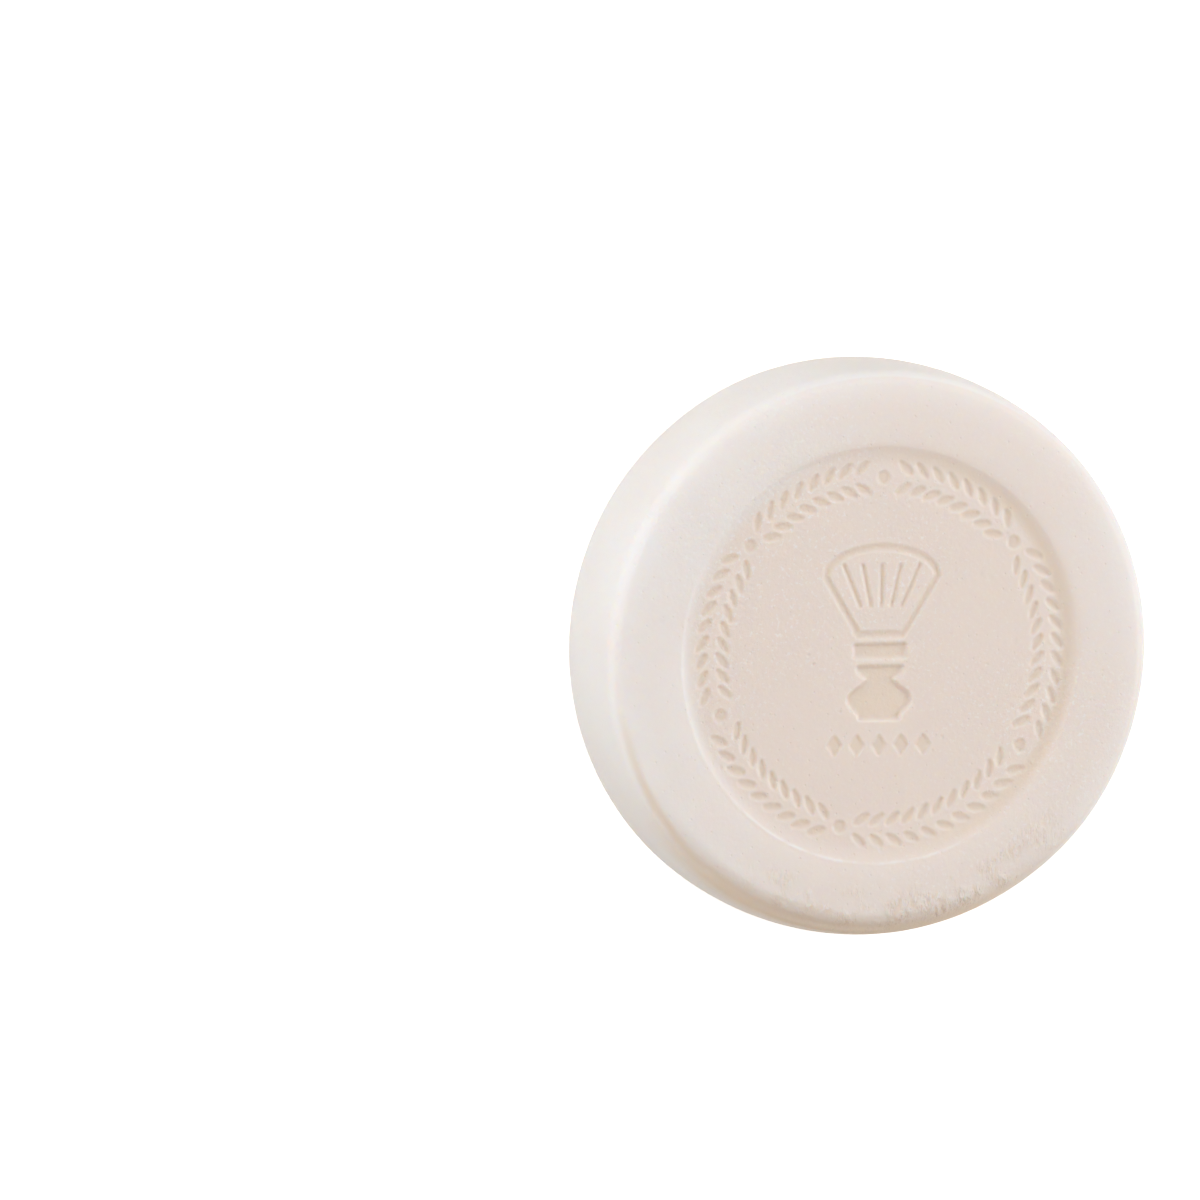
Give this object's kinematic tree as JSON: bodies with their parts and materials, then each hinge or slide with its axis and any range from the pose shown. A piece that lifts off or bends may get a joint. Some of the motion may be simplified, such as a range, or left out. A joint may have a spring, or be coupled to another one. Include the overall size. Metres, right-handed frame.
{
  "type": "shaving soap puck",
  "caption": "Round cake of hard shaving soap with a barrelled side, soft edges and a shallow round recess with a pressed laurel band and badge.",
  "frame": {"origin": "centre of the flat back, on the surface that the puck lies on", "axes": "+Z out of the struck face, along the puck's axis; +Y towards the top of the badge; +X to the badge's right"},
  "size_m": [0.064, 0.064, 0.019],
  "materials": {
    "cream_soap": "satin, slightly waxy"
  },
  "bodies": {
    "root": {"soap_puck": "cream_soap"}
  },
  "joints": []
}
